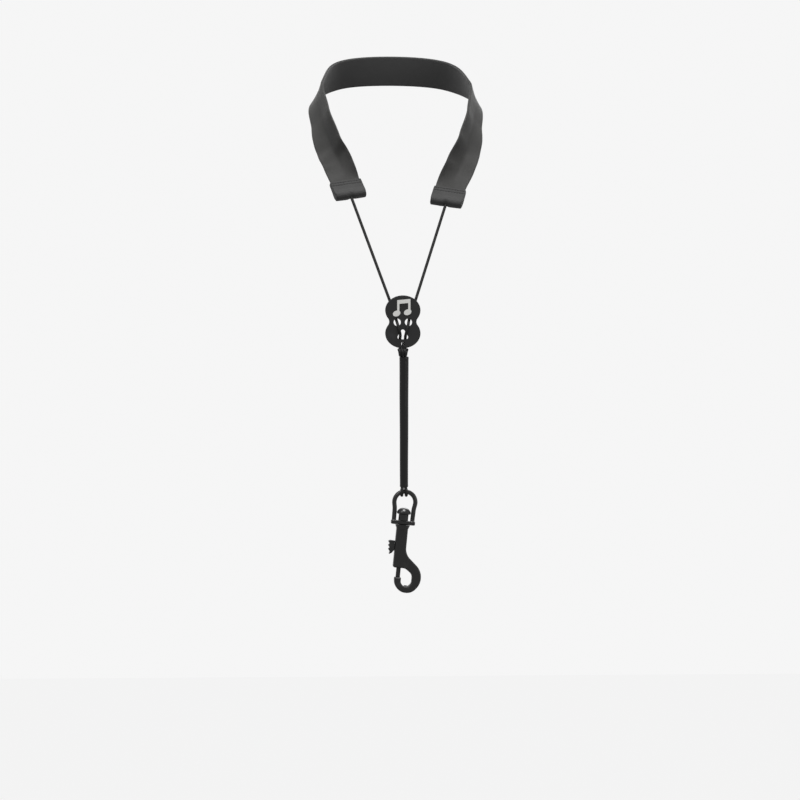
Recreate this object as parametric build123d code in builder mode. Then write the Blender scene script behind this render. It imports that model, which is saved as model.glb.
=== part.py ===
from build123d import *

import os
from math import cos, radians, sin

# Saxophone neck strap: woven band, two cords, slide adjuster, sleeved drop and swivel snap hook.
# Millimetres. The origin is the middle of the band's inner face at the nape of the neck. +X is the
# wearer's left, +Y points backwards out of the nape and +Z points up; the strap hangs at -Y.

# Band: two layers of webbing, 26.5 wide, running round the neck and down over the shoulders
BAND_WIDTH = 26.5
LINING_THICK = 1.1
WEBBING_THICK = 1.2
LAYER_GAP = 0.05
BAND_THICK = LINING_THICK + LAYER_GAP + WEBBING_THICK
# Stations from the nape down one side: centre of the inner face, and the way from upper to lower edge
STATIONS = [
    ((0, 0, 0), (0, 0.20, -0.98)),
    ((47, -14, -6), (0.15, 0.25, -0.95)),
    ((68, -56, -27), (0.38, 0.38, -0.84)),
    ((65.6, -78, -50), (0.47, 0.50, -0.72)),
    ((60.5, -91, -72), (0.70, 0.40, -0.58)),
    ((52.5, -101.5, -94), (0.88, 0.05, -0.40)),
]
LEFT_END = (-44.0, -117.5, -120.0)
RIGHT_END = (39.6, -120.2, -126.2)
END_EDGE = (0.93, -0.25, -0.17)
END_WAY = (-0.27, -0.56, -0.78)

# End tabs: folded webbing sewn over the band's ends, round a stopper knot
TAB_WIDTH = 29.0
TAB_ABOVE = 14.0
TAB_BELOW = 4.6
TAB_LEAF = 1.15
TAB_CLEAR = 0.05
TAB_SWELL = 7.2
TAB_FOLD_R = 1.4
KNOT_D = 4.2
KNOT_H = 2.8
KNOT_DROP = 0.4
STITCH = (2.1, 0.55, 0.35)
STITCH_PITCH = 2.9
STITCH_COUNT = 9
STITCH_ROWS = (12.2, 9.4)

# Cords
CORD_D = 2.5
CORD_HOLE = 2.7
HANG_Y = -158.0
PLATE_Z = -230.5
PLATE_X = -1.0

# Adjuster plate, with its own origin at its centre: +X right, +Y up, +Z towards the viewer
PLATE_THICK = 3.0
LOBE = (15.0, 12.7)
LOBE_OFFSET = 9.8
WAIST_HALF = 11.6
WAIST_TALL = 12.0
WAIST_FILLET = 4.5
CORD_HOLE_R = 3.1
CORD_HOLE_X = 4.8
CORD_HOLE_Z = -0.4
THROAT_APEX = -4.9
THROAT_BASE = -14.8
THROAT_HALF = 6.0
THROAT_FILLET = 1.8
TIE_HOLE_R = 1.5
TIE_HOLE_Z = -18.8
EMBLEM_THICK = 0.8
EMBLEM_PIN_R = 0.9
HEADS = [(-5.4, 7.0), (4.0, 8.1)]
HEAD_SIZE = (3.3, 2.4)
STEM = 1.9
BEAM_LOW = 15.0
BEAM_HIGH = 16.1
BEAM_DEEP = 3.3

# Cord route through the plate, for the right-hand side: x, back(+) or front(-), height above plate centre
WEAVE_SIDE = 2.9
WEAVE_BEND = 1.85
ENTRY_RUN = 1.6
MOUTH_RUN = 5.6
MOUTH_BEND = 5.0
STRAND = 1.27
KNOT_CENTRE = (0, -3.45, -26.2)

# Sleeve over the four strands
SLEEVE_TOP = -260.1
SLEEVE_BOTTOM = -371.2
SLEEVE_BORE_R = 3.1
SLEEVE_TOP_R = 3.9
SLEEVE_BOTTOM_R = 3.45
CORD_SPLIT = -265.0

# Swivel hook, on a plane that hangs 5.5 degrees out of plumb; its +Y runs up the swivel's axis
HOOK_LEAN = 5.5
HOOK_Z = -391.5
HOOK = Plane(
    origin=(0, HANG_Y, HOOK_Z),
    x_dir=(cos(radians(HOOK_LEAN)), 0, -sin(radians(HOOK_LEAN))),
    z_dir=(0, -1, 0),
)
EYE_BAR_R = 1.9
EYE_R = 8.95
EYE_CENTRE = 7.75
EYE_LEG = 8.0
EYE_FOOT = -8.0
EYE_BASE = 3.5
EYE_BASE_HALF = 10.2
EYE_BASE_DEPTH = 7.0
PIN_HEAD_R = 5.95
PIN_HEAD_TOP = 3.0
PIN_NECK_R = 4.2
PIN_SHANK_R = 3.0
PIN_RUN = 0.06
PIN_TENON_R = 2.2
PIN_END = -15.4
COLLAR_R = 6.3
COLLAR_FOOT_R = 4.8
COLLAR_TALL = 3.8
BODY_TOP = -11.8
BODY_THICK = 8.5
BOLT_R = 1.9
BOLT_RUN = 0.08
BOLT_TOP = -27.5
BOLT_TIP = -57.2
SEAT_FOOT = -57.4
BORE_TOP = -15.9
SPRING_R = 1.3
SPRING_WIRE = 0.3
SPRING_TURNS = 8
TONGUE_HALF = 0.85
TONGUE_TOP = -28.3
TONGUE_FOOT = -33.0
TONGUE_IN = -0.7
GATE_TRAVEL = 8.5
SLOT_HALF = 1.0
SLOT_EASE = 0.4
TAB_THICK = 6.4
TIE_D = 1.4
BODY_EDGE = 1.4
# Corners of the hook's side view and the radius each is rounded to
OUTLINE = [((-5.0, -12.3), 0), ((4.7, -12.3), 0), ((4.7, -36.2), 12.0), ((19.6, -49.2), 14.0),
           ((19.6, -60.5), 13.0), ((13.0, -69.0), 10.0), ((2.6, -69.0), 10.0), ((-2.9, -62.0), 11.0),
           ((-2.9, -56.3), 0.7), ((2.7, -56.3), 0.7), ((2.7, -60.6), 4.0), ((5.0, -63.4), 3.0),
           ((9.4, -63.4), 4.0), ((11.9, -60.2), 4.0), ((11.9, -53.0), 5.0), ((5.4, -48.3), 6.0),
           ((-5.0, -48.3), 1.6)]
THUMB = [(-5.4, -33.6), (-5.4, -25.6), (-9.6, -25.4), (-10.9, -26.6), (-9.5, -28.3), (-10.7, -29.9),
         (-9.3, -31.6), (-10.4, -33.2), (-8.9, -35.0), (-9.4, -37.3), (-7.3, -36.2)]
RIB = [(5.6, -64.2), (9.0, -64.2), (8.5, -62.7), (6.1, -62.7)]


def mirrored(point, side):
    return (side * point[0], point[1], point[2])


def end_way(side):
    """The way the band's end points, down the chest."""
    return Vector(*mirrored(END_WAY, side)).normalized()


def tab_mouth(side):
    """Where the cord's bend begins, just outside the tab."""
    end = Vector(*(RIGHT_END if side > 0 else LEFT_END))
    return end + end_plane(side).z_dir * BAND_THICK / 2 + end_way(side) * MOUTH_RUN


def entry(side):
    """Where the taut cord passes behind the plate's head."""
    return Vector(*at_plate(side * 10.9, WEAVE_SIDE, 18.0))


def cord_direction(side):
    """The taut cord's own direction, from the tab to the back of the plate."""
    return (entry(side) - tab_mouth(side)).normalized()


def band_stations():
    """Every station from the left end to the right end."""
    left = [(mirrored(p, -1), mirrored(w, -1)) for p, w in STATIONS[:0:-1]]
    ends = [(LEFT_END, mirrored(END_EDGE, -1))], [(RIGHT_END, END_EDGE)]
    return ends[0] + left + STATIONS + ends[1]


def band_planes():
    """One plane per station: X across the band, Y out of the neck, normal along the band."""
    stops = band_stations()
    planes = []
    for i, (point, edge) in enumerate(stops):
        if i == 0:
            along = -1 * end_way(-1)
            point = Vector(*point) + along * TAB_ABOVE
        elif i == len(stops) - 1:
            along = end_way(1)
            point = Vector(*point) - along * TAB_ABOVE
        else:
            along = (Vector(*stops[i + 1][0]) - Vector(*stops[i - 1][0])).normalized()
        across = Vector(*edge)
        across = (across - along * across.dot(along)).normalized()
        planes.append(Plane(origin=point, x_dir=across, z_dir=along))
    return planes


def band_layer(inner, thick):
    """One layer of webbing, straight where the tabs hold it."""
    planes = band_planes()
    with BuildPart() as layer:
        for plane in planes:
            with BuildSketch(plane):
                with Locations((0, inner + thick / 2)):
                    Rectangle(BAND_WIDTH, thick)
        loft()
        for plane, way in ((planes[0], -1), (planes[-1], 1)):
            with BuildSketch(plane):
                with Locations((0, inner + thick / 2)):
                    Rectangle(BAND_WIDTH, thick)
            extrude(amount=way * TAB_ABOVE)
    return layer.part


def end_plane(side):
    """X across the band, Y along the band away from its end, normal out of the chest."""
    plane = band_planes()[-1 if side > 0 else 0]
    up = -1 * end_way(side)
    out = plane.y_dir
    end = plane.origin - up * TAB_ABOVE + out * BAND_THICK / 2
    return Plane(origin=end, x_dir=up.cross(out), z_dir=out)


def make_tab(side):
    half = BAND_THICK / 2 + TAB_CLEAR
    top_half = half + TAB_LEAF
    face = end_plane(side)
    section = Plane(origin=face.origin, x_dir=face.z_dir, z_dir=-1 * face.x_dir)
    with BuildPart() as tab:
        with BuildSketch(section) as outline:
            with BuildLine():
                Polyline(
                    (-top_half, TAB_ABOVE), (top_half, TAB_ABOVE), (top_half + 0.1, 5.2),
                    (TAB_SWELL / 2, 0.6), (TAB_SWELL / 2, -TAB_BELOW),
                    (-TAB_SWELL / 2, -TAB_BELOW), (-TAB_SWELL / 2, 0.6),
                    (-top_half - 0.1, 5.2), close=True,
                )
            make_face()
            fillet(outline.vertices().sort_by(Axis.Y)[:2], TAB_FOLD_R)
        extrude(amount=TAB_WIDTH / 2, both=True)
        with BuildSketch(section):
            with Locations((0, TAB_ABOVE / 2)):
                Rectangle(2 * half, TAB_ABOVE + 2 * TAB_CLEAR)
        extrude(amount=TAB_WIDTH / 2, both=True, mode=Mode.SUBTRACT)
        with BuildSketch(section):
            with Locations((0, -KNOT_DROP - KNOT_H / 2)):
                Rectangle(KNOT_D + 2 * TAB_CLEAR, KNOT_H + 2 * KNOT_DROP)
        extrude(amount=KNOT_D / 2 + TAB_CLEAR, both=True, mode=Mode.SUBTRACT)
        with BuildSketch(Plane(origin=face.origin, z_dir=end_way(side))):
            Circle(CORD_HOLE / 2)
        extrude(amount=2 * TAB_BELOW, mode=Mode.SUBTRACT)
    return tab.part


def make_stitches(side):
    face = end_plane(side)
    length, width, height = STITCH
    leaf = BAND_THICK / 2 + TAB_CLEAR + TAB_LEAF
    with BuildPart() as stitches:
        for way in (1, -1):
            for row in STITCH_ROWS:
                lift = leaf + 0.1 * (TAB_ABOVE - row) / (TAB_ABOVE - 5.2) + 0.02
                with BuildSketch(face.offset(way * lift)):
                    with Locations((0, row)):
                        with GridLocations(STITCH_PITCH, 0, STITCH_COUNT, 1):
                            SlotOverall(length, width)
                extrude(amount=way * height)
    return stitches.part


def make_stopper_knot(side):
    down = end_way(side)
    face = end_plane(side)
    base = face.origin + down * (KNOT_DROP + KNOT_H)
    with BuildPart() as knot:
        with BuildSketch(Plane(origin=base, z_dir=-1 * down)):
            Circle(KNOT_D / 2)
        extrude(amount=KNOT_H)
        fillet(knot.edges().filter_by(GeomType.CIRCLE), KNOT_H / 2 - 0.2)
    return knot.part


def tube(points, radii, diameter):
    """A round cord along straight runs joined by tangent arcs, one radius per corner."""
    with BuildPart() as cord:
        with BuildLine() as route:
            if radii:
                FilletPolyline(*points, radius=radii)
            else:
                Line(*points)
        start = route.wires()[0]
        with BuildSketch(Plane(origin=start @ 0, z_dir=start % 0)):
            Circle(diameter / 2)
        sweep(path=start)
    return cord.part


def at_plate(x, depth, height):
    return (PLATE_X + x, HANG_Y + depth, PLATE_Z + height)


def weave_points(side):
    """From behind the plate's head, through a cord hole, the throat, and into the sleeve."""
    return [
        entry(side) - cord_direction(side) * ENTRY_RUN,
        entry(side),
        at_plate(side * 5.5, WEAVE_SIDE, CORD_HOLE_Z + 2.65),
        at_plate(side * 4.4, -WEAVE_SIDE, CORD_HOLE_Z - 2.65),
        at_plate(side * 2.15, -WEAVE_SIDE, -11.1),
        at_plate(side * 2.25, WEAVE_SIDE, -13.9),
        at_plate(side * 2.2, WEAVE_SIDE, -24.0),
        (side * STRAND, HANG_Y + STRAND, SLEEVE_TOP + 1.0),
        (side * STRAND, HANG_Y + STRAND, CORD_SPLIT),
    ]


WEAVE_RADII = [3.0, WEAVE_BEND, WEAVE_BEND, WEAVE_BEND, WEAVE_BEND, 6.0, 6.0]


def make_neck_cord(side):
    top = end_plane(side).origin + end_way(side) * (KNOT_DROP + KNOT_H)
    stop = entry(side) - cord_direction(side) * (ENTRY_RUN + 0.3)
    return tube([top, tab_mouth(side), stop], [MOUTH_BEND], CORD_D)


def make_adjuster_cord(side):
    return tube(weave_points(side), WEAVE_RADII, CORD_D)


def eye_top():
    """Middle of the eye's top bar, where the two cords hang it."""
    return HOOK.from_local_coords(Vector(0, EYE_CENTRE + EYE_R, 0))


def loop_points(side):
    """Down the back strand, round under the eye's bar and up the front strand to the knot."""
    bar = eye_top()
    reach = EYE_BAR_R + CORD_D / 2 + 0.1
    x = side * STRAND
    back, front = HANG_Y + STRAND, HANG_Y - STRAND
    out = side * 1.9
    return [
        (x, back, CORD_SPLIT - 0.3),
        (x, back, SLEEVE_BOTTOM - 0.3),
        (out, HANG_Y + reach, bar.Z + 1.2),
        (out, HANG_Y + reach, bar.Z - reach),
        (out, HANG_Y - reach, bar.Z - reach),
        (out, HANG_Y - reach, bar.Z + 1.2),
        (x, front, SLEEVE_BOTTOM - 0.3),
        (x, front, CORD_SPLIT - 0.3),
    ]


def make_loop_cord(side):
    reach = EYE_BAR_R + CORD_D / 2 + 0.1
    return tube(loop_points(side), [1.6, 1.3, reach - 0.05, reach - 0.05, 1.3, 1.6], CORD_D)


def make_end_knot():
    """The two cord ends tied round the plate's rim: three turns, their ends and a loop to the hole."""
    x, depth, height = KNOT_CENTRE
    with BuildPart() as knot:
        middle = at_plate(x, depth, height)
        with BuildSketch(Plane(origin=middle, x_dir=(1, 0, 0), z_dir=(0, -1, 0))):
            with BuildLine():
                Line((-4.6, 0), (-4.6, 1.6))
                ThreePointArc((-4.6, 1.6), (-3.2, 3.1), (-1.6, 2.6))
                ThreePointArc((-1.6, 2.6), (0, 3.3), (1.6, 2.6))
                ThreePointArc((1.6, 2.6), (3.2, 3.1), (4.6, 1.6))
                Line((4.6, 1.6), (4.6, 0))
                Line((4.6, 0), (-4.6, 0))
            make_face()
        revolve(axis=Axis(middle, (1, 0, 0)))
    return knot.part


def make_front_strand(side):
    """A cord end's last stretch, from the knot down into the sleeve."""
    x, front = side * STRAND, HANG_Y - STRAND
    top = PLATE_Z + KNOT_CENTRE[2] - 3.25
    return tube([(x, front, top), (x, front, CORD_SPLIT)], [], CORD_D)


def make_tie_loop():
    """The knot's loop round the plate's lower rim, through the tie hole."""
    lift = PLATE_THICK / 2 + TIE_D / 2 + 0.1
    points = [
        at_plate(0, -lift, KNOT_CENTRE[2] + 3.5),
        at_plate(0, -lift, TIE_HOLE_Z + 0.6),
        at_plate(0, lift, TIE_HOLE_Z + 0.6),
        at_plate(0, lift, -23.9),
        at_plate(0, 0.75, KNOT_CENTRE[2] + 1.2),
    ]
    return tube(points, [0.95, 0.95, 1.4], TIE_D)


def make_plate():
    face = Plane(origin=(PLATE_X, HANG_Y, PLATE_Z), z_dir=(0, -1, 0), x_dir=(1, 0, 0))
    with BuildPart() as plate:
        with BuildSketch(face):
            with Locations((0, LOBE_OFFSET), (0, -LOBE_OFFSET)):
                Ellipse(*LOBE)
            Rectangle(2 * WAIST_HALF, WAIST_TALL)
        extrude(amount=PLATE_THICK / 2, both=True)
        waist = plate.edges().filter_by(Axis.Y).filter_by(lambda e: abs(e.center().Z - PLATE_Z) < 5)
        fillet(waist, WAIST_FILLET)
        with BuildSketch(face):
            with Locations((-CORD_HOLE_X, CORD_HOLE_Z), (CORD_HOLE_X, CORD_HOLE_Z)):
                Circle(CORD_HOLE_R)
            with Locations((0, TIE_HOLE_Z)):
                Circle(TIE_HOLE_R)
        extrude(amount=PLATE_THICK, both=True, mode=Mode.SUBTRACT)
        with BuildSketch(face) as throat:
            with BuildLine():
                Polyline((0, THROAT_APEX), (THROAT_HALF, THROAT_BASE),
                         (-THROAT_HALF, THROAT_BASE), close=True)
            make_face()
            fillet(throat.vertices(), THROAT_FILLET)
        extrude(amount=PLATE_THICK, both=True, mode=Mode.SUBTRACT)
        with BuildSketch(face.offset(-PLATE_THICK)):
            with Locations(*HEADS):
                Circle(EMBLEM_PIN_R)
        extrude(amount=2 * PLATE_THICK, mode=Mode.SUBTRACT)
        fillet(plate.faces().sort_by(Axis.Y)[0].edges(), 0.45)
        fillet(plate.faces().sort_by(Axis.Y)[-1].edges(), 0.45)
    return plate.part


def make_emblem():
    """A beamed pair of notes, with a pin behind each head."""
    face = Plane(origin=(PLATE_X, HANG_Y - PLATE_THICK / 2, PLATE_Z), z_dir=(0, -1, 0), x_dir=(1, 0, 0))
    (lx, ly), (rx, ry) = HEADS
    reach = HEAD_SIZE[0] - STEM / 2
    with BuildPart() as emblem:
        with BuildSketch(face):
            with Locations(*[Location((x, y), 22) for x, y in HEADS]):
                Ellipse(*HEAD_SIZE)
            with BuildLine():
                Polyline((lx + reach - STEM, BEAM_LOW), (rx + reach, BEAM_HIGH),
                         (rx + reach, BEAM_HIGH + BEAM_DEEP), (lx + reach - STEM, BEAM_LOW + BEAM_DEEP),
                         close=True)
            make_face()
            for x, y, top in ((lx, ly, BEAM_LOW + 1.2), (rx, ry, BEAM_HIGH + 0.8)):
                with Locations((x + reach - STEM / 2, (y + top) / 2)):
                    Rectangle(STEM, top - y)
        extrude(amount=EMBLEM_THICK)
        with BuildSketch(face):
            with Locations(*HEADS):
                Circle(EMBLEM_PIN_R)
        extrude(amount=-(PLATE_THICK - 0.2))
    return emblem.part


def make_sleeve():
    tall = SLEEVE_TOP - SLEEVE_BOTTOM
    with BuildPart() as sleeve:
        with Locations((0, HANG_Y, SLEEVE_BOTTOM + tall / 2)):
            Cone(SLEEVE_BOTTOM_R, SLEEVE_TOP_R, tall)
            Cylinder(SLEEVE_BORE_R, tall, mode=Mode.SUBTRACT)
    return sleeve.part


def hook_axis(height, up=False):
    """A plane square to the swivel's axis, facing down it or up it."""
    here = HOOK.from_local_coords(Vector(0, height, 0))
    return Plane(origin=here, x_dir=HOOK.x_dir, z_dir=HOOK.y_dir * (1 if up else -1))


def make_swivel_eye():
    with BuildPart() as eye:
        with BuildSketch(HOOK):
            with Locations((0, EYE_FOOT - EYE_BASE / 2)):
                RectangleRounded(2 * EYE_BASE_HALF, EYE_BASE, 1.0)
        extrude(amount=EYE_BASE_DEPTH / 2, both=True)
        fillet(eye.faces().sort_by(Axis.Y)[0].edges(), 0.7)
        fillet(eye.faces().sort_by(Axis.Y)[-1].edges(), 0.7)
        with BuildLine(HOOK) as bail:
            Spline((-EYE_LEG, EYE_FOOT - 1), (-EYE_LEG, -2), (-8.25, 3), (-EYE_R, EYE_CENTRE),
                   (-6.33, 14.08), (0, EYE_CENTRE + EYE_R), (6.33, 14.08), (EYE_R, EYE_CENTRE),
                   (8.25, 3), (EYE_LEG, -2), (EYE_LEG, EYE_FOOT - 1),
                   tangents=[(0, 1), (0, -1)])
        with BuildSketch(Plane(origin=bail.wires()[0] @ 0, z_dir=bail.wires()[0] % 0)):
            Circle(EYE_BAR_R)
        sweep(path=bail.wires()[0])
        with BuildSketch(hook_axis(0)):
            Circle(PIN_SHANK_R + PIN_RUN)
        extrude(amount=2 * -EYE_FOOT, mode=Mode.SUBTRACT)
    return eye.part


def make_swivel_pin():
    section = Plane(origin=HOOK.origin, x_dir=HOOK.x_dir, z_dir=HOOK.z_dir)
    with BuildPart() as pin:
        with BuildSketch(section):
            with BuildLine():
                ThreePointArc((0, PIN_HEAD_TOP), (4.2, 1.6), (PIN_HEAD_R, -0.9))
                Polyline((PIN_HEAD_R, -0.9), (PIN_HEAD_R - 0.1, -2.3), (PIN_NECK_R, -2.9),
                         (PIN_NECK_R, EYE_FOOT + 0.05), (PIN_SHANK_R, EYE_FOOT + 0.05),
                         (PIN_SHANK_R, BODY_TOP + 0.01), (PIN_TENON_R, BODY_TOP + 0.01),
                         (PIN_TENON_R, PIN_END), (0, PIN_END), (0, PIN_HEAD_TOP))
            make_face()
        revolve(axis=Axis(HOOK.origin, HOOK.y_dir))
    return pin.part


def make_hook_body():
    with BuildPart() as body:
        with BuildSketch(HOOK) as outline:
            Polygon(*[corner for corner, _ in OUTLINE], align=None)
            for corner, radius in OUTLINE:
                if radius:
                    fillet(outline.vertices().sort_by_distance(corner)[0], radius)
        extrude(amount=BODY_THICK / 2, both=True)
        fillet(body.faces().sort_by(Axis.Y)[0].edges(), BODY_EDGE)
        fillet(body.faces().sort_by(Axis.Y)[-1].edges(), BODY_EDGE)
        with BuildSketch(hook_axis(BODY_TOP)):
            Circle(COLLAR_R)
        with BuildSketch(hook_axis(BODY_TOP - COLLAR_TALL)):
            Circle(COLLAR_FOOT_R)
        loft()
        with BuildSketch(HOOK):
            Polygon(*RIB, align=None)
        extrude(amount=1.6, both=True)
        with BuildSketch(hook_axis(BODY_TOP + 1)):
            Circle(PIN_TENON_R + 0.01)
        extrude(amount=BODY_TOP + 1 - PIN_END + 0.05, mode=Mode.SUBTRACT)
        with BuildSketch(hook_axis(BORE_TOP)):
            Circle(BOLT_R + BOLT_RUN)
        extrude(amount=BORE_TOP - SEAT_FOOT, mode=Mode.SUBTRACT)
        low, high = TONGUE_FOOT - SLOT_EASE, TONGUE_TOP + GATE_TRAVEL + SLOT_EASE
        with BuildSketch(HOOK):
            with Locations((-3.5, (low + high) / 2)):
                Rectangle(7.0, high - low)
        extrude(amount=SLOT_HALF, both=True, mode=Mode.SUBTRACT)
    return body.part


def tongue(clear):
    """The thumb tab's tongue, from outside the shank into the bolt."""
    with Locations(((THUMB[0][0] + TONGUE_IN) / 2 - clear, (TONGUE_TOP + TONGUE_FOOT) / 2)):
        Rectangle(TONGUE_IN - THUMB[0][0] + 2 * clear, TONGUE_TOP - TONGUE_FOOT + 2 * clear)


def make_gate_bolt():
    with BuildPart() as bolt:
        with BuildSketch(hook_axis(BOLT_TOP)):
            Circle(BOLT_R)
        extrude(amount=BOLT_TOP - BOLT_TIP)
        chamfer(bolt.edges().filter_by(GeomType.CIRCLE), 0.35)
        with BuildSketch(HOOK):
            tongue(clear=0.02)
        extrude(amount=TONGUE_HALF + 0.02, both=True, mode=Mode.SUBTRACT)
    return bolt.part


def make_thumb_tab():
    with BuildPart() as thumb:
        with BuildSketch(HOOK) as grip:
            Polygon(*THUMB, align=None)
            fillet(grip.vertices().filter_by(lambda v: v.X < -6.0), 0.15)
        extrude(amount=TAB_THICK / 2, both=True)
        with BuildSketch(HOOK):
            tongue(clear=0)
        extrude(amount=TONGUE_HALF, both=True)
    return thumb.part


def make_gate_spring():
    gap = BORE_TOP - BOLT_TOP - SPRING_WIRE - 0.2
    foot = hook_axis(BOLT_TOP + SPRING_WIRE / 2 + 0.1, up=True)
    with BuildPart() as spring:
        with BuildLine() as coil:
            Helix(pitch=gap / SPRING_TURNS, height=gap, radius=SPRING_R,
                  center=foot.origin, direction=foot.z_dir)
        with BuildSketch(Plane(origin=coil.line @ 0, z_dir=coil.line % 0)):
            Circle(SPRING_WIRE / 2)
        sweep(path=coil.line, is_frenet=True)
    return spring.part


def save(name, part):
    part.label = name
    export_step(part, f"parts/{name}.step")
    print(name, round(part.volume, 2))


def main():
    os.makedirs("parts", exist_ok=True)
    save("band_webbing", band_layer(LINING_THICK + LAYER_GAP, WEBBING_THICK))
    save("band_lining", band_layer(0, LINING_THICK))
    for side, word in ((-1, "left"), (1, "right")):
        save(word + "_end_tab", make_tab(side))
        save(word + "_tab_stitches", make_stitches(side))
        save(word + "_stopper_knot", make_stopper_knot(side))
        save(word + "_neck_cord", make_neck_cord(side))
        save(word + "_adjuster_cord", make_adjuster_cord(side))
        save(word + "_front_strand", make_front_strand(side))
        save(word + "_loop_cord", make_loop_cord(side))
    save("adjuster_plate", make_plate())
    save("emblem", make_emblem())
    save("end_knot", make_end_knot())
    save("tie_loop", make_tie_loop())
    save("cord_sleeve", make_sleeve())
    save("swivel_eye", make_swivel_eye())
    save("swivel_pin", make_swivel_pin())
    save("hook_body", make_hook_body())
    save("gate_bolt", make_gate_bolt())
    save("thumb_tab", make_thumb_tab())
    save("gate_spring", make_gate_spring())


main()
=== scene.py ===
"""Saxophone neck strap: cloth, cord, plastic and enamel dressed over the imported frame. Metres."""

from math import cos, exp, pi, radians, sin, sqrt

import bmesh
import bpy
from mathutils import Matrix, Vector


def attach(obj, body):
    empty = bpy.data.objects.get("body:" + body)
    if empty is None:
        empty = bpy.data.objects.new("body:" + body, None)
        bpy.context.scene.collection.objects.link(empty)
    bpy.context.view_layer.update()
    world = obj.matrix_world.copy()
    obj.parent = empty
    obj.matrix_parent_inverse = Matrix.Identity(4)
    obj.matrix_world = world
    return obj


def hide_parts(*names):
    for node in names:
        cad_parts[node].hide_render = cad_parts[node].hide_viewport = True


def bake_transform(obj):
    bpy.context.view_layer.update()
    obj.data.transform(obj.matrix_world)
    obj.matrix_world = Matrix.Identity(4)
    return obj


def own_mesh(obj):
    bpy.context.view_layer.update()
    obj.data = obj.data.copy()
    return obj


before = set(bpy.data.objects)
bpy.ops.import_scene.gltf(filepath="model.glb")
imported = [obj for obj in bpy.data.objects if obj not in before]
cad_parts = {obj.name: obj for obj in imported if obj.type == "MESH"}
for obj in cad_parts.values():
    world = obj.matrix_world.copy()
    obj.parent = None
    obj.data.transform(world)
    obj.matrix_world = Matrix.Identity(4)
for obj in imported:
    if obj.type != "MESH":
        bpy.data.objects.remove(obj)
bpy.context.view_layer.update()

MM = 0.001
# The drop hangs straight down at this depth in front of the nape
HANG = Vector((0, -0.158, 0))
PLATE_X = -1.0 * MM
PLATE_Z = -0.2305
BAND_THICK = 2.35 * MM
BAND_WIDTH = 26.5 * MM
CORD_D = 2.5 * MM
TIE_D = 1.4 * MM
# Each of the four strands runs this far to the side of, and in front of or behind, the sleeve's middle
STRAND = 1.27 * MM
SLEEVE_TOP = -0.2601
SLEEVE_FOOT = -0.3712
LEAN = radians(5.5)
EYE_TALL = 16.7 * MM
EYE_TOP = Vector((EYE_TALL * sin(LEAN), -0.158, -0.3915 + EYE_TALL * cos(LEAN)))


# ---------------------------------------------------------------- camera


def set_camera():
    yaw = radians(-4.0)
    aim = Vector((-0.0034, -0.158, -0.297))
    distance = 2.5
    stand = aim + distance * Vector((sin(yaw), -cos(yaw), 0))
    lens = bpy.data.cameras.new("camera")
    lens.lens = 132.3
    lens.sensor_width = 36
    camera = bpy.data.objects.new("camera", lens)
    camera.location = stand
    camera.rotation_euler = (aim - stand).to_track_quat("-Z", "Y").to_euler()
    bpy.context.collection.objects.link(camera)
    bpy.context.scene.camera = camera


set_camera()


# ---------------------------------------------------------------- materials


def new_group(name, inputs, outputs):
    group = bpy.data.node_groups.new(name, "ShaderNodeTree")
    for label, kind, value in inputs:
        socket = group.interface.new_socket(label, in_out="INPUT", socket_type=kind)
        if value is not None:
            socket.default_value = value
    for label, kind in outputs:
        group.interface.new_socket(label, in_out="OUTPUT", socket_type=kind)
    return group, group.nodes.new("NodeGroupInput"), group.nodes.new("NodeGroupOutput")


def reckon(tree, what, a, b=None, c=None, clamp=False):
    node = tree.nodes.new("ShaderNodeMath")
    node.operation = what
    node.use_clamp = clamp
    for socket, value in zip(node.inputs, (a, b, c)):
        if value is None:
            continue
        if isinstance(value, (int, float)):
            socket.default_value = value
        else:
            tree.links.new(value, socket)
    return node.outputs[0]


def noise(tree, place, scale, detail=2.0, rough=0.5):
    node = tree.nodes.new("ShaderNodeTexNoise")
    node.inputs["Scale"].default_value = scale
    node.inputs["Detail"].default_value = detail
    node.inputs["Roughness"].default_value = rough
    tree.links.new(place, node.inputs["Vector"])
    return node.outputs["Fac"]


def woven_group():
    """Webbing: warp ribs along the length crossed by weft, with uneven yarns. Reads a UV in metres."""
    group, into, out = new_group(
        "woven_webbing",
        [("UV", "NodeSocketVector", None), ("Warp pitch", "NodeSocketFloat", 0.0009),
         ("Weft pitch", "NodeSocketFloat", 0.0012), ("Unevenness", "NodeSocketFloat", 0.25)],
        [("Height", "NodeSocketFloat"), ("Yarn", "NodeSocketFloat"), ("Wear", "NodeSocketFloat")],
    )
    split = group.nodes.new("ShaderNodeSeparateXYZ")
    group.links.new(into.outputs["UV"], split.inputs[0])
    across = reckon(group, "DIVIDE", split.outputs["X"], into.outputs["Warp pitch"])
    along = reckon(group, "DIVIDE", split.outputs["Y"], into.outputs["Weft pitch"])
    warp = reckon(group, "SINE", reckon(group, "MULTIPLY", across, 2 * pi))
    weft = reckon(group, "SINE", reckon(group, "MULTIPLY", along, 2 * pi))
    over = reckon(group, "MULTIPLY_ADD", reckon(group, "MULTIPLY", warp, weft), 0.5, 0.5)
    rib = reckon(group, "ABSOLUTE", reckon(group, "SINE", reckon(group, "MULTIPLY", across, pi)))
    weave = reckon(group, "MULTIPLY_ADD", over, 0.6, reckon(group, "MULTIPLY", rib, 0.4))
    slub = noise(group, into.outputs["UV"], 900.0, 2.0)
    height = reckon(group, "MULTIPLY_ADD", reckon(group, "SUBTRACT", slub, 0.5),
                    into.outputs["Unevenness"], weave)
    group.links.new(height, out.inputs["Height"])
    group.links.new(weave, out.inputs["Yarn"])
    group.links.new(noise(group, into.outputs["UV"], 60.0, 4.0, 0.6), out.inputs["Wear"])
    return group


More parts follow.
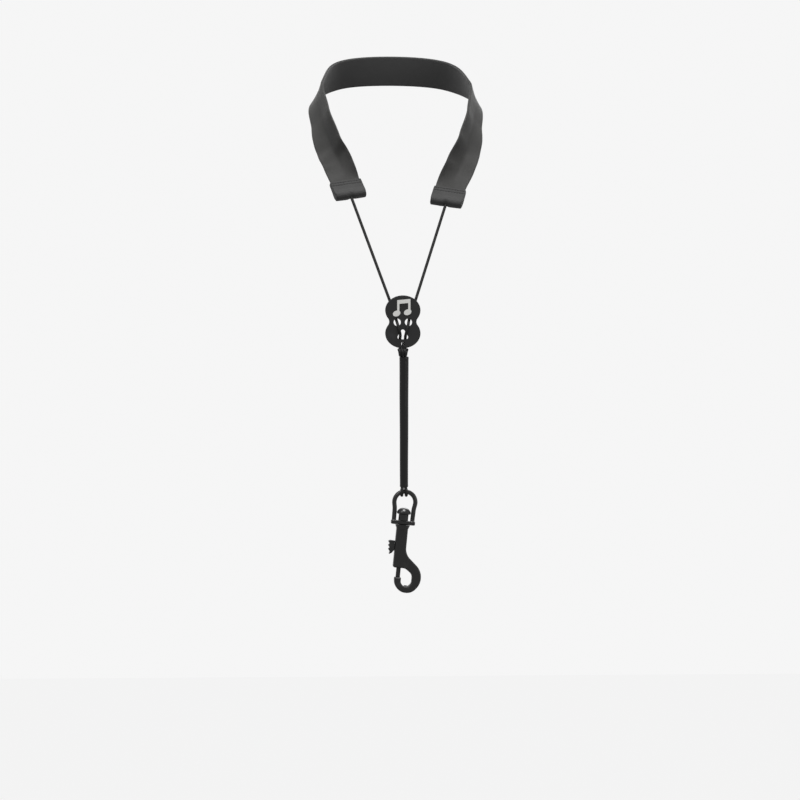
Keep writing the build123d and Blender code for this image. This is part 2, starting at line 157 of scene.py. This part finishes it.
def braid_group():
    """Round braid: two families of strands crossing round the cord. UV is metres round and along."""
    group, into, out = new_group(
        "round_braid",
        [("UV", "NodeSocketVector", None), ("Plait", "NodeSocketFloat", 0.0009)],
        [("Height", "NodeSocketFloat"), ("Strand", "NodeSocketFloat")],
    )
    split = group.nodes.new("ShaderNodeSeparateXYZ")
    group.links.new(into.outputs["UV"], split.inputs[0])
    turn = reckon(group, "DIVIDE", split.outputs["X"], into.outputs["Plait"])
    rise = reckon(group, "DIVIDE", split.outputs["Y"], into.outputs["Plait"])
    one_way = reckon(group, "ADD", turn, rise)
    right = reckon(group, "SINE", reckon(group, "MULTIPLY", one_way, 2 * pi))
    other_way = reckon(group, "SUBTRACT", turn, rise)
    left = reckon(group, "SINE", reckon(group, "MULTIPLY", other_way, 2 * pi))
    strands = reckon(group, "MULTIPLY_ADD", reckon(group, "MULTIPLY", right, left), 0.5, 0.5)
    fuzz = noise(group, into.outputs["UV"], 3000.0, 2.0)
    height = reckon(group, "MULTIPLY_ADD", fuzz, 0.25, strands)
    group.links.new(height, out.inputs["Height"])
    group.links.new(strands, out.inputs["Strand"])
    return group


def handling_group():
    """Handling marks: broad smears with fine pitting, for plastic and enamel."""
    group, into, out = new_group(
        "handling_marks",
        [("Place", "NodeSocketVector", None), ("Smear scale", "NodeSocketFloat", 90.0),
         ("Pit scale", "NodeSocketFloat", 2500.0)],
        [("Smear", "NodeSocketFloat"), ("Pits", "NodeSocketFloat"), ("Rub", "NodeSocketFloat")],
    )

    def layer(scale_socket, detail):
        node = group.nodes.new("ShaderNodeTexNoise")
        node.inputs["Detail"].default_value = detail
        group.links.new(into.outputs["Place"], node.inputs["Vector"])
        group.links.new(into.outputs[scale_socket], node.inputs["Scale"])
        return node.outputs["Fac"]

    smear = layer("Smear scale", 3.0)
    group.links.new(smear, out.inputs["Smear"])
    group.links.new(layer("Pit scale", 1.0), out.inputs["Pits"])
    rub = reckon(group, "MULTIPLY", reckon(group, "SUBTRACT", smear, 0.58), 6.0, clamp=True)
    group.links.new(rub, out.inputs["Rub"])
    return group


WOVEN = woven_group()
BRAID = braid_group()
HANDLING = handling_group()


class Finish:
    """One material: a Principled shader with the shared effects plugged into it."""

    def __init__(self, name, **fixed):
        self.material = bpy.data.materials.new(name)
        self.material.use_nodes = True
        self.tree = self.material.node_tree
        self.shader = self.tree.nodes["Principled BSDF"]
        for label, value in fixed.items():
            self.shader.inputs[label.replace("_", " ")].default_value = value
        self.where = self.tree.nodes.new("ShaderNodeTexCoord")

    def place(self, group, coordinate, **values):
        node = self.tree.nodes.new("ShaderNodeGroup")
        node.node_tree = group
        self.tree.links.new(self.where.outputs[coordinate], node.inputs[0])
        for label, value in values.items():
            node.inputs[label.replace("_", " ")].default_value = value
        return node

    def colours(self, mask, low, high):
        ramp = self.tree.nodes.new("ShaderNodeMix")
        ramp.data_type = "RGBA"
        ramp.inputs["A"].default_value = (*low, 1)
        ramp.inputs["B"].default_value = (*high, 1)
        self.tree.links.new(mask, ramp.inputs["Factor"])
        return ramp.outputs["Result"]

    def range(self, mask, low, high):
        node = self.tree.nodes.new("ShaderNodeMapRange")
        node.inputs["To Min"].default_value = low
        node.inputs["To Max"].default_value = high
        self.tree.links.new(mask, node.inputs["Value"])
        return node.outputs["Result"]

    def feed(self, label, value):
        self.tree.links.new(value, self.shader.inputs[label])

    def relief(self, height, depth, strength=1.0):
        bump = self.tree.nodes.new("ShaderNodeBump")
        bump.inputs["Strength"].default_value = strength
        bump.inputs["Distance"].default_value = depth
        self.tree.links.new(height, bump.inputs["Height"])
        self.tree.links.new(bump.outputs["Normal"], self.shader.inputs["Normal"])


def cloth(name, dark, light, warp=0.0009, weft=0.0012, depth=0.00016, sheen=0.08):
    finish = Finish(name, Sheen_Weight=sheen, Sheen_Roughness=0.5, Specular_IOR_Level=0.22)
    weave = finish.place(WOVEN, "UV", Warp_pitch=warp, Weft_pitch=weft)
    shade = reckon(finish.tree, "MULTIPLY_ADD", weave.outputs["Wear"], 0.5,
                   reckon(finish.tree, "MULTIPLY", weave.outputs["Yarn"], 0.5))
    finish.feed("Base Color", finish.colours(shade, dark, light))
    finish.feed("Roughness", finish.range(weave.outputs["Wear"], 0.62, 0.9))
    finish.relief(weave.outputs["Height"], depth)
    return finish.material


def cord_finish(name, dark, light):
    finish = Finish(name, Sheen_Weight=0.02, Sheen_Roughness=0.4, Specular_IOR_Level=0.18)
    braid = finish.place(BRAID, "UV")
    finish.feed("Base Color", finish.colours(braid.outputs["Strand"], dark, light))
    finish.feed("Roughness", finish.range(braid.outputs["Strand"], 0.85, 0.55))
    finish.relief(braid.outputs["Height"], 0.00005)
    return finish.material


def shell(name, base, rubbed, rough, pits, smear_scale=90.0, pit_scale=2500.0, metal=0.0, gleam=0.5):
    """Hard surfaces: moulded plastic, enamel and satin metal."""
    finish = Finish(name, Metallic=metal, Specular_IOR_Level=gleam)
    marks = finish.place(HANDLING, "Object", Smear_scale=smear_scale, Pit_scale=pit_scale)
    finish.feed("Base Color", finish.colours(marks.outputs["Rub"], base, rubbed))
    finish.feed("Roughness", finish.range(marks.outputs["Smear"], rough[0], rough[1]))
    finish.relief(marks.outputs["Pits"], pits)
    return finish.material


WEBBING = cloth("black_webbing", (0.0036, 0.0035, 0.0033), (0.0125, 0.0122, 0.0114))
LINING = cloth("black_lining", (0.006, 0.006, 0.006), (0.015, 0.015, 0.015), warp=0.0006, weft=0.0006,
               depth=0.00006)
TAB_CLOTH = cloth("tab_webbing", (0.004, 0.004, 0.004), (0.013, 0.013, 0.0127))
CORD = cord_finish("braided_cord", (0.0014, 0.0014, 0.0014), (0.0024, 0.0024, 0.0023))
THREAD = shell("sewing_thread", (0.006, 0.006, 0.006), (0.014, 0.014, 0.014), (0.7, 0.9), 0.00006,
               pit_scale=6000.0, gleam=0.15)
SATIN_PLASTIC = shell("satin_plastic", (0.003, 0.003, 0.0032), (0.007, 0.007, 0.0075), (0.32, 0.46),
                      0.00002, gleam=0.28)
SILVER = shell("satin_silver", (0.50, 0.50, 0.485), (0.62, 0.62, 0.60), (0.34, 0.5), 0.00001, metal=1.0)
GLOSS_TUBE = shell("gloss_tube", (0.002, 0.002, 0.002), (0.004, 0.004, 0.004), (0.1, 0.24), 0.00001,
                   gleam=0.22)
EYE_ENAMEL = shell("eye_enamel", (0.003, 0.003, 0.003), (0.009, 0.009, 0.009), (0.22, 0.38), 0.00003,
                   pit_scale=900.0, gleam=0.3)
HOOK_ENAMEL = shell("hook_enamel", (0.004, 0.004, 0.004), (0.011, 0.011, 0.0105), (0.34, 0.52), 0.00005,
                    pit_scale=1400.0, gleam=0.24)
SPRING_WIRE = shell("spring_wire", (0.45, 0.45, 0.44), (0.55, 0.55, 0.54), (0.25, 0.4), 0.00001, metal=1.0)


# ---------------------------------------------------------------- shapes


def keep_mesh(bm, name, material, smooth=True):
    bmesh.ops.recalc_face_normals(bm, faces=bm.faces)
    mesh = bpy.data.meshes.new(name)
    bm.to_mesh(mesh)
    bm.free()
    piece = bpy.data.objects.new(name, mesh)
    bpy.context.collection.objects.link(piece)
    mesh.materials.append(material)
    if smooth:
        mesh.polygons.foreach_set("use_smooth", [True] * len(mesh.polygons))
    return piece


def wrap(around, along, place, cap=True):
    """A grid rolled into a tube: place(turn, step) gives a point and its UV in metres."""
    bm = bmesh.new()
    bmesh.ops.create_grid(bm, x_segments=around, y_segments=along, size=0.5)
    uv = bm.loops.layers.uv.new("UVMap")
    spots = {}
    for vert in bm.verts:
        spots[vert] = place(vert.co.x + 0.5, vert.co.y + 0.5)
    for face in bm.faces:
        for loop in face.loops:
            loop[uv].uv = spots[loop.vert][1]
    for vert in bm.verts:
        vert.co = spots[vert][0]
    bmesh.ops.remove_doubles(bm, verts=bm.verts, dist=1e-6)
    if cap:
        bmesh.ops.holes_fill(bm, edges=[e for e in bm.edges if e.is_boundary], sides=0)
    return bm


def route_line(name, points):
    """A smooth line through a cord's route: a NURBS spline read back as points."""
    data = bpy.data.curves.new(name, "CURVE")
    data.dimensions = "3D"
    spline = data.splines.new("NURBS")
    spline.points.add(len(points) - 1)
    for knot, point in zip(spline.points, points):
        knot.co = (*point, 1)
    spline.order_u = 3
    spline.use_endpoint_u = True
    data.resolution_u = 16
    holder = bpy.data.objects.new(name, data)
    line = bpy.data.meshes.new_from_object(holder)
    found = [v.co.copy() for v in line.vertices]
    bpy.data.meshes.remove(line)
    bpy.data.objects.remove(holder)
    bpy.data.curves.remove(data)
    return found


def frames_on(line):
    """Point, two square directions and distance at each point of a line, without twist."""
    frames, gone = [], 0.0
    side = None
    for i, here in enumerate(line):
        ahead = (line[min(i + 1, len(line) - 1)] - line[max(i - 1, 0)]).normalized()
        if side is None:
            side = ahead.orthogonal().normalized()
        side = (side - ahead * side.dot(ahead)).normalized()
        if i:
            gone += (here - line[i - 1]).length
        frames.append((here, side, ahead.cross(side), gone))
    return frames


def tube_on(line, diameter, around=20):
    frames = frames_on(line)
    last = len(frames) - 1

    def place(turn, step):
        here, side, lift, gone = frames[round(step * last)]
        angle = 2 * pi * turn
        spot = here + (side * cos(angle) + lift * sin(angle)) * diameter / 2
        return spot, (turn * pi * diameter, gone)

    return wrap(around, last, place)


def length_of(line):
    return sum((b - a).length for a, b in zip(line, line[1:]))


# ---------------------------------------------------------------- cords


END_L = Vector((-44.0, -117.5, -120.0)) * MM
END_R = Vector((39.6, -120.2, -126.2)) * MM
END_WAY = (-0.27, -0.56, -0.78)
MOUTH_RUN = 5.6 * MM


def at_plate(x, depth, height):
    """A point given in millimetres right of, behind and above the plate's middle."""
    return Vector((PLATE_X + x * MM, HANG.y + depth * MM, PLATE_Z + height * MM))


def entry(side):
    """Where the neck cord goes behind the plate's head."""
    return at_plate(side * 10.9, 2.9, 18.0)


def end_way(side):
    """The way the band's end points, down the chest."""
    return Vector((side * END_WAY[0], END_WAY[1], END_WAY[2])).normalized()


def mouth(side):
    """Where the cord leaves the tab."""
    return mid_end(side) + end_way(side) * MOUTH_RUN


def cord_way(side):
    """The way the taut cord runs from the tab to the plate."""
    return (entry(side) - mouth(side)).normalized()


def mid_end(side):
    """Middle of the band's thickness at its end."""
    return (END_R if side > 0 else END_L) + band_frame_at_end(side)[1] * BAND_THICK / 2


# Points along the middle of the band's inner face, in millimetres, with the way across the band there
STATIONS = [
    ((0, 0, 0), (0, 0.20, -0.98)),
    ((47, -14, -6), (0.15, 0.25, -0.95)),
    ((68, -56, -27), (0.38, 0.38, -0.84)),
    ((65.6, -78, -50), (0.47, 0.50, -0.72)),
    ((60.5, -91, -72), (0.70, 0.40, -0.58)),
    ((52.5, -101.5, -94), (0.88, 0.05, -0.40)),
]
END_EDGE = (0.93, -0.25, -0.17)
TAB_ABOVE = 14.0 * MM


def band_frame_at_end(side):
    """Across, outward and along at the band's end, where the tab holds it straight."""
    along = end_way(side) * side
    across = Vector((side * END_EDGE[0], END_EDGE[1], END_EDGE[2]))
    across = (across - along * across.dot(along)).normalized()
    return across, along.cross(across), along


def neck_cord(side, word):
    start = mid_end(side) + end_way(side) * 0.4 * MM
    bend = mouth(side)
    stop = entry(side) - cord_way(side) * 1.7 * MM
    route = [start, bend, bend.lerp(stop, 0.1), bend.lerp(stop, 0.86), stop]
    line = route_line(word + "_neck_route", route)
    piece = keep_mesh(tube_on(line, CORD_D), word + "_cord_above", CORD)
    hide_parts(word + "_neck_cord")
    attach(piece, "neck_band")
    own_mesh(piece)
    length_of(line)
    return piece


def adjuster_cord(side, word):
    """From behind the plate's head, out through the cord hole, back through the throat, down behind."""
    start = entry(side) - cord_way(side) * 1.6 * MM
    route = [
        start,
        entry(side),
        at_plate(side * 8.3, 2.95, 10.4),
        at_plate(side * 5.5, 3.5, 2.25),
        at_plate(side * 4.4, -3.5, -3.05),
        at_plate(side * 2.15, -3.5, -11.1),
        at_plate(side * 2.25, 3.5, -13.9),
        at_plate(side * 2.2, 3.0, -24.0),
        Vector((side * STRAND, HANG.y + STRAND, SLEEVE_TOP + 1.0 * MM)),
        Vector((side * STRAND, HANG.y + STRAND, -0.265)),
    ]
    line = route_line(word + "_adjuster_route", route)
    piece = keep_mesh(tube_on(line, CORD_D), word + "_cord_in_plate", CORD)
    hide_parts(word + "_adjuster_cord")
    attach(piece, "adjuster")
    length_of(line)
    return piece


def loop_cord(side, word):
    """Down inside the sleeve, round the eye's bar and up again to the end knot."""
    x, out = side * STRAND, side * 1.9 * MM
    back, front = HANG.y + STRAND, HANG.y - STRAND
    reach = 3.25 * MM
    above = EYE_TOP.z + 1.2 * MM
    route = [
        Vector((x, back, -0.2652)),
        Vector((x, back, SLEEVE_FOOT + 12 * MM)),
        Vector((x, back, SLEEVE_FOOT - 0.3 * MM)),
        Vector((out, HANG.y + reach, above)),
        Vector((out, HANG.y + reach, EYE_TOP.z - reach)),
        Vector((out, HANG.y - reach, EYE_TOP.z - reach)),
        Vector((out, HANG.y - reach, above)),
        Vector((x, front, SLEEVE_FOOT - 0.3 * MM)),
        Vector((x, front, SLEEVE_FOOT + 12 * MM)),
        Vector((x, front, -0.2602)),
    ]
    line = route_line(word + "_loop_route", route)
    piece = keep_mesh(tube_on(line, CORD_D), word + "_cord_below", CORD)
    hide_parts(word + "_loop_cord", word + "_front_strand")
    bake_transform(piece)
    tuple(route[0])
    length_of(line)
    return piece


def end_knot():
    """Three turns of cord tied round the strands; the loop that holds them to the plate's rim is made by
    tie_loop.
    """
    middle = at_plate(0, -3.45, -26.2)
    coil = []
    turns, steps, radius = 3, 8, 2.2 * 1.14 * MM
    left_edge, width = -3.6, 7.0
    for i in range(turns * steps + 1):
        angle = 2 * pi * i / steps + pi / 2
        x = (left_edge + width * i / (turns * steps)) * MM
        coil.append(middle + Vector((x, radius * cos(angle), radius * sin(angle))))
    line = route_line("knot_route", coil)
    bm = tube_on(line, CORD_D, around=18)
    bmesh.ops.create_icosphere(
        bm, subdivisions=2, radius=1.6 * MM,
        matrix=Matrix.Translation(middle) @ Matrix.Diagonal((2.0, 1, 1, 1)),
    )
    piece = keep_mesh(bm, "end_knot_turns", CORD)
    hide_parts("end_knot")
    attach(piece, "adjuster")
    return piece


def tie_loop():
    """The thinner cord from the knot, through the tie hole and back round the plate's rim."""
    lift = 2.4
    route = [
        at_plate(0, -lift, -22.9),
        at_plate(0, -lift, -20.0),
        at_plate(0, -lift - 0.4, -18.0),
        at_plate(0, lift + 0.4, -18.0),
        at_plate(0, lift, -23.9),
        at_plate(0, 0.75, -25.0),
    ]
    line = route_line("tie_route", route)
    piece = keep_mesh(tube_on(line, TIE_D, around=16), "tie_cord", CORD)
    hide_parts("tie_loop")
    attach(piece, "adjuster")
    return piece


for side, word in ((-1, "left"), (1, "right")):
    neck_cord(side, word)
    adjuster_cord(side, word)
    loop_cord(side, word)
end_knot()
tie_loop()


# ---------------------------------------------------------------- band


def mirrored(v):
    return (-v[0], v[1], v[2])


def band_stops():
    """Every station from the left tab, over the nape, to the right tab, in metres."""
    left = [(mirrored(p), mirrored(w)) for p, w in STATIONS[:0:-1]]
    stops = [(Vector(p) * MM, Vector(w)) for p, w in left + STATIONS]
    first = (END_L - end_way(-1) * TAB_ABOVE, band_frame_at_end(-1)[0])
    last = (END_R - end_way(1) * TAB_ABOVE, band_frame_at_end(1)[0])
    return [first] + stops + [last]


def band_line(steps=320):
    """Frames from the left end to the right (point, across, outward, distance), and the whole length."""
    stops = band_stops()
    reach = [0.0]
    for (a, _), (b, _) in zip(stops, stops[1:]):
        reach.append(reach[-1] + (b - a).length)
    slopes = []
    for i in range(len(stops)):
        if i == 0:
            slopes.append(-1 * end_way(-1))
        elif i == len(stops) - 1:
            slopes.append(end_way(1))
        else:
            slopes.append((stops[i + 1][0] - stops[i - 1][0]) / (reach[i + 1] - reach[i - 1]))
    spots = []
    low, high = -TAB_ABOVE, reach[-1] + TAB_ABOVE
    for k in range(steps + 1):
        t = low + (high - low) * k / steps
        if t <= 0:
            here, across = stops[0][0] + slopes[0] * t, stops[0][1]
        elif t >= reach[-1]:
            here, across = stops[-1][0] + slopes[-1] * (t - reach[-1]), stops[-1][1]
        else:
            i = max(j for j in range(len(reach) - 1) if reach[j] <= t)
            span = reach[i + 1] - reach[i]
            s = (t - reach[i]) / span
            h = (2 * s**3 - 3 * s**2 + 1, s**3 - 2 * s**2 + s, 3 * s**2 - 2 * s**3, s**3 - s**2)
            here = (stops[i][0] * h[0] + slopes[i] * span * h[1]
                    + stops[i + 1][0] * h[2] + slopes[i + 1] * span * h[3])
            ease = s * s * (3 - 2 * s)
            across = stops[i][1].normalized().lerp(stops[i + 1][1].normalized(), ease)
        spots.append((here, across, t - low))
    frames = []
    for i, (here, across, gone) in enumerate(spots):
        along = (spots[min(i + 1, steps)][0] - spots[max(i - 1, 0)][0]).normalized()
        across = (across - along * across.dot(along)).normalized()
        frames.append((here, across, along.cross(across), gone))
    return frames, high - low


BAND, BAND_LENGTH = band_line()


def crease(gone, c):
    """How far the band sinks along its worn middle fold, and its ripples above the left tab."""
    from_end = min(gone, BAND_LENGTH - gone)
    settle = min(1, max(0, (from_end - 15 * MM) / (26 * MM)))
    settle = settle * settle * (3 - 2 * settle)
    nape = min(1, max(0, (from_end - 55 * MM) / (75 * MM)))
    valley = -0.08 if gone < BAND_LENGTH / 2 else 0.05
    fold = 4.6 * MM * settle * (1 - nape) * (sqrt((c - valley) ** 2 + 0.006) - 0.5)
    bow = 0.5 * MM * nape * (c * c - 0.4)
    ripple = 0.0
    if 15 * MM < gone < 75 * MM:
        fade = exp(-(((gone - 42 * MM) / (13 * MM)) ** 2))
        ripple = 0.55 * MM * fade * sin(gone / (2.3 * MM) + 1.5 * c) * (0.35 + 0.65 * abs(c))
    return fold + bow + ripple


def ribbon(width, inner, thick, selvedge):
    """A rounded strip swept along the band, thicker where the selvedges are."""
    across_steps, edge_steps = 26, 4
    outline = []
    half, r = width / 2, thick / 2
    for i in range(across_steps + 1):
        c = -1 + 2 * i / across_steps
        outline.append((c * (half - r), 1.0, c))
    for i in range(1, edge_steps):
        a = pi * i / edge_steps
        outline.append(((half - r) + r * sin(a), cos(a), 1.0))
    for i in range(across_steps + 1):
        c = 1 - 2 * i / across_steps
        outline.append((c * (half - r), -1.0, c))
    for i in range(1, edge_steps):
        a = pi * i / edge_steps
        outline.append((-(half - r) - r * sin(a), -cos(a), -1.0))
    count, last = len(outline), len(BAND) - 1

    def place(turn, step):
        x, level, c = outline[round(turn * count) % count]
        here, across, out, gone = BAND[round(step * last)]
        swell = 1 + selvedge * exp(-(((abs(c) - 0.93) / 0.045) ** 2))
        lift = inner + thick / 2 + level * thick / 2 * swell + crease(gone, c)
        return here + across * x + out * lift, (x + half + (0 if level > 0 else width), gone)

    return wrap(count, last, place)


def band_layers():
    outer = ribbon(BAND_WIDTH, inner=1.15 * MM, thick=1.2 * MM, selvedge=0.22)
    webbing = keep_mesh(outer, "webbing_strip", WEBBING)
    inner = ribbon(BAND_WIDTH - 0.5 * MM, inner=0, thick=1.1 * MM, selvedge=0.0)
    lining = keep_mesh(inner, "lining_strip", LINING)
    for piece, node in ((webbing, "band_webbing"), (lining, "band_lining")):
        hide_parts(node)
        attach(piece, "neck_band")


band_layers()

TAB_WIDTH = 29 * MM
# The folded tab seen from its side, in millimetres: out from the band's middle, and up from its end
TAB_OUTLINE = [
    (1.3, 14.15), (2.1, 14.05), (2.4, 13.6), (2.42, 8.5), (2.75, 5.0), (3.5, 1.4),
    (3.85, -0.4), (3.8, -1.6), (3.3, -2.9), (2.4, -3.9), (1.0, -4.5),
]
STITCH_ROWS = (12.2, 9.4)
STITCHES, STITCH_PITCH = 11, 2.45


def tab_profile():
    """The outline from the front's top edge, round the fold and up the back, in half-millimetre steps."""
    loop = TAB_OUTLINE + [(-n, d) for n, d in reversed(TAB_OUTLINE)]
    profile = []
    for (n, d), (m, e) in zip(loop, loop[1:] + loop[:1]):
        parts = max(1, round(sqrt((m - n) ** 2 + (e - d) ** 2) / 0.5))
        profile += [(n + (m - n) * k / parts, d + (e - d) * k / parts) for k in range(parts)]
    return profile


def end_tab(side, word):
    """Webbing folded round the band's end, swollen over the stopper knot and drawn in at its corners."""
    across, out, _ = band_frame_at_end(side)
    up = -1 * end_way(side)
    base = mid_end(side)
    profile = tab_profile()
    count = len(profile)

    def place(turn, step):
        n, d = profile[round(turn * count) % count]
        x = -1 + 2 * step
        edge = max(0.0, (abs(x) - 0.94) / 0.06)
        low = min(1.0, max(0.0, (4.0 - d) / 6))
        groove = sum(exp(-(((d - row) / 0.45) ** 2)) for row in STITCH_ROWS)
        knot_bulge = 0.06 * exp(-((x / 0.3) ** 2)) * (1 if d < 3 else 0.3)
        swell = knot_bulge + 0.03 * sin(5 * x + side) * low
        n *= (0.4 + 0.6 * sqrt(max(0.0, 1 - edge * edge))) * (1 + swell)
        n -= (1 if n > 0 else -1) * 0.26 * groove * (1 if abs(n) > 1.8 else 0)
        d += 0.9 * low * exp(-((x / 0.16) ** 2)) + 1.0 * low * edge * edge - 0.25 * low * (1 - x * x)
        wide = 1 - 0.035 * low * low - 0.008 * (1 if d > 13 else 0)
        spot = base + across * x * wide * TAB_WIDTH / 2 + out * n * MM + up * d * MM
        return spot, (x * TAB_WIDTH / 2, (d + (0 if n > 0 else 30)) * MM)

    piece = keep_mesh(wrap(count, 60, place), word + "_tab", TAB_CLOTH)
    soft = piece.modifiers.new("soft", "SUBSURF")
    soft.levels = soft.render_levels = 1
    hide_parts(word + "_end_tab")
    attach(piece, "neck_band")
    return piece


def tab_stitches(side, word):
    """Two rows of thread through each face of the tab, sunk in the grooves that they pull."""
    across, out, _ = band_frame_at_end(side)
    up = -1 * end_way(side)
    base = mid_end(side)
    turn = Matrix((across, up, out)).transposed().to_4x4()
    bm = bmesh.new()
    for way in (1, -1):
        for row in STITCH_ROWS:
            for i in range(STITCHES):
                x = (i - STITCHES // 2) * STITCH_PITCH
                spot = base + (across * x + up * row + out * 2.2 * way) * MM
                bmesh.ops.create_uvsphere(
                    bm, u_segments=10, v_segments=6, radius=MM,
                    matrix=Matrix.Translation(spot) @ turn @ Matrix.Diagonal((1.05, 0.3, 0.3, 1)),
                )
    piece = keep_mesh(bm, word + "_stitching", THREAD)
    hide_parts(word + "_tab_stitches")
    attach(piece, "neck_band")
    return piece


for side, word in ((-1, "left"), (1, "right")):
    end_tab(side, word)
    tab_stitches(side, word)


# ---------------------------------------------------------------- sleeve


SLEEVE_TOP_R = 3.9
SLEEVE_TAPER = 0.45
BORE_R = 3.1 * MM


def sleeve_profile():
    """Once round the tube's wall: down the outside, over the lip, up the bore and over the top lip."""
    tall, steps = SLEEVE_TOP - SLEEVE_FOOT, 110
    profile = []
    for k in range(steps + 1):
        gone = k / steps
        ease = (1 - cos(pi * gone)) / 2 * tall
        from_end = min(ease, tall - ease)
        bead = 0.08 * exp(-(((from_end - 1.4 * MM) / (0.9 * MM)) ** 2))
        rounding = 0.3 * exp(-((from_end / (0.4 * MM)) ** 2))
        radius = SLEEVE_TOP_R - SLEEVE_TAPER * ease / tall + bead - rounding
        profile.append((radius * MM, SLEEVE_TOP - ease))
    for gone in (0, 0.02, 0.1, 0.5, 0.9, 0.98, 1):
        profile.append((BORE_R, SLEEVE_FOOT + tall * gone))
    return profile + profile[:1]


def sleeve():
    """Glossy tube drawn down over four strands: faint flats along it and a rolled lip at each end."""
    profile = sleeve_profile()
    last = len(profile) - 1

    def place(turn, step):
        angle = 2 * pi * turn
        radius, z = profile[round(step * last)]
        if radius > BORE_R + 0.05 * MM:
            radius += 0.05 * MM * cos(4 * angle) + 0.04 * MM * sin(z / (9 * MM) + angle)
        spot = Vector((radius * cos(angle), HANG.y + radius * sin(angle), z))
        return spot, (turn * 0.023, z)

    piece = keep_mesh(wrap(48, last, place, cap=False), "sleeve_tube", GLOSS_TUBE)
    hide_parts("cord_sleeve")
    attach(piece, "lower_run")
    return piece


sleeve()


# ---------------------------------------------------------------- plastic and metal from the frame


def dress(node, material):
    """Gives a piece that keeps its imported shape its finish."""
    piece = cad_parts[node]
    if not piece.material_slots:
        piece.data.materials.append(material)
    for holder in piece.material_slots:
        holder.material = material


for node, material in (
    ("adjuster_plate", SATIN_PLASTIC), ("emblem", SILVER), ("swivel_eye", EYE_ENAMEL),
    ("swivel_pin", EYE_ENAMEL), ("hook_body", HOOK_ENAMEL), ("gate_bolt", HOOK_ENAMEL),
    ("thumb_tab", HOOK_ENAMEL), ("gate_spring", SPRING_WIRE), ("left_stopper_knot", CORD),
    ("right_stopper_knot", CORD),
):
    dress(node, material)


# ---------------------------------------------------------------- studio


def floor():
    bm = bmesh.new()
    bmesh.ops.create_grid(bm, x_segments=1, y_segments=1, size=8)
    bmesh.ops.translate(bm, verts=bm.verts, vec=(0, 0, -1.3))
    mesh = bpy.data.meshes.new("floor")
    bm.to_mesh(mesh)
    bm.free()
    sheet = bpy.data.objects.new("floor", mesh)
    bpy.context.collection.objects.link(sheet)
    pale = Finish("pale_floor", Base_Color=(0.03, 0.03, 0.03, 1), Roughness=0.9, Specular_IOR_Level=0.0,
                  Emission_Color=(1, 1, 1, 1), Emission_Strength=0.87)
    mesh.materials.append(pale.material)


def studio():
    world = bpy.data.worlds.new("studio")
    bpy.context.scene.world = world
    world.use_nodes = True
    world.node_tree.nodes["Background"].inputs["Color"].default_value = (1, 1, 1, 1)
    world.node_tree.nodes["Background"].inputs["Strength"].default_value = 0.92
    for name, spot, size, power in (
        ("key", (-1.2, -1.5, 1.3), 0.8, 26), ("fill", (1.6, -1.4, 0.1), 0.5, 7),
        ("top", (0.1, -0.5, 1.4), 0.8, 60), ("back", (0.3, 1.4, 0.8), 1.0, 14),
    ):
        light = bpy.data.lights.new(name, "AREA")
        light.size = size
        light.energy = power
        holder = bpy.data.objects.new(name, light)
        holder.location = spot
        way = Vector((0, -0.1, -0.25)) - Vector(spot)
        holder.rotation_euler = way.to_track_quat("-Z", "Y").to_euler()
        bpy.context.collection.objects.link(holder)
    bpy.context.scene.view_settings.view_transform = "Standard"


floor()
studio()
